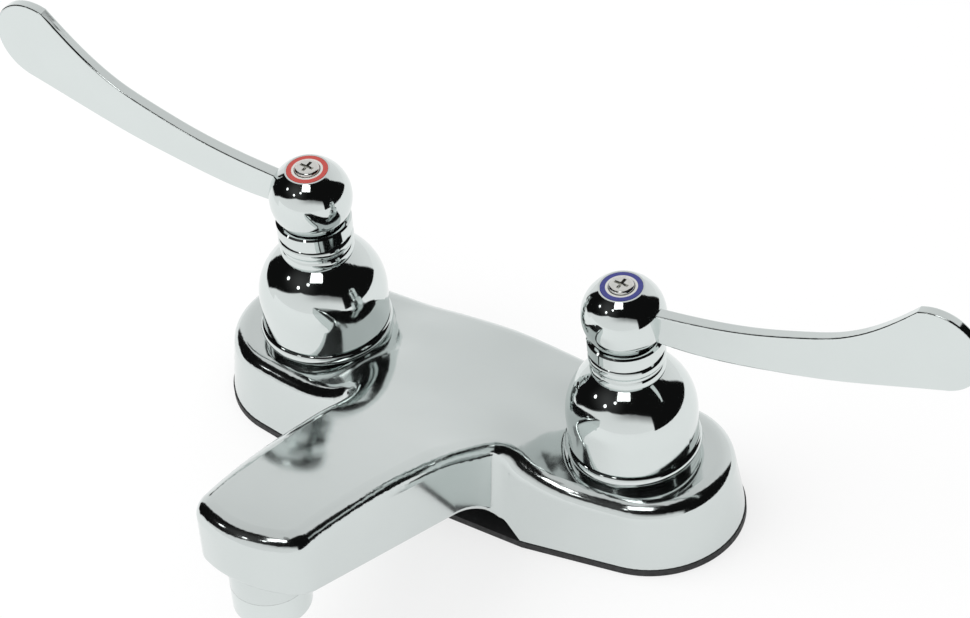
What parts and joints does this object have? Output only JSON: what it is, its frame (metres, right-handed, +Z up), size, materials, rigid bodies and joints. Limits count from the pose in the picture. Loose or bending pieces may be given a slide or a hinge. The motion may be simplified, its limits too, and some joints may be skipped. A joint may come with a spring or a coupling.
{
  "type": "bathroom faucet",
  "caption": "Two-handle deck faucet with wrist-blade handles that turn on vertical axes, ringed domes, a fixed spout and threaded shanks.",
  "frame": {"origin": "on the deck plane, under the gasket, midway between the two handle axes", "axes": "+Z up, +X towards the cold (right) handle, the spout points along -Y"},
  "size_m": [0.3097, 0.1365, 0.1528],
  "materials": {
    "chrome": "polished",
    "screw_steel": "polished",
    "brass": "machined",
    "rubber": "matte",
    "ceramic": "lapped",
    "red_plastic": "gloss",
    "blue_plastic": "gloss",
    "white_plastic": "satin"
  },
  "bodies": {
    "faucet": {"body": "chrome", "deck_gasket": "rubber", "aerator_housing": "chrome", "aerator_insert": "white_plastic", "aerator_washer": "rubber", "hot_bonnet": "chrome", "hot_fixed_disc": "ceramic", "hot_seat_seal": "rubber", "hot_cartridge": "brass", "hot_cartridge_nut": "brass", "hot_shank_washer": "screw_steel", "hot_mounting_nut": "brass", "cold_bonnet": "chrome", "cold_fixed_disc": "ceramic", "cold_seat_seal": "rubber", "cold_cartridge": "brass", "cold_cartridge_nut": "brass", "cold_shank_washer": "screw_steel", "cold_mounting_nut": "brass"},
    "hot_valve": {"hot_handle": "chrome", "hot_index_ring": "red_plastic", "hot_handle_screw": "screw_steel", "hot_stem": "brass", "hot_stem_seal": "rubber", "hot_moving_disc": "ceramic"},
    "cold_valve": {"cold_handle": "chrome", "cold_index_ring": "blue_plastic", "cold_handle_screw": "screw_steel", "cold_stem": "brass", "cold_stem_seal": "rubber", "cold_moving_disc": "ceramic"}
  },
  "joints": [
    {"name": "hot_handle_turn", "type": "hinge", "parent": "faucet", "child": "hot_valve", "pos_m": [-0.0508, 0, 0.07], "axis": [0, 0, 1], "range_deg": [0, 90]},
    {"name": "cold_handle_turn", "type": "hinge", "parent": "faucet", "child": "cold_valve", "pos_m": [0.0508, 0, 0.07], "axis": [0, 0, 1], "range_deg": [-90, 0]}
  ]
}
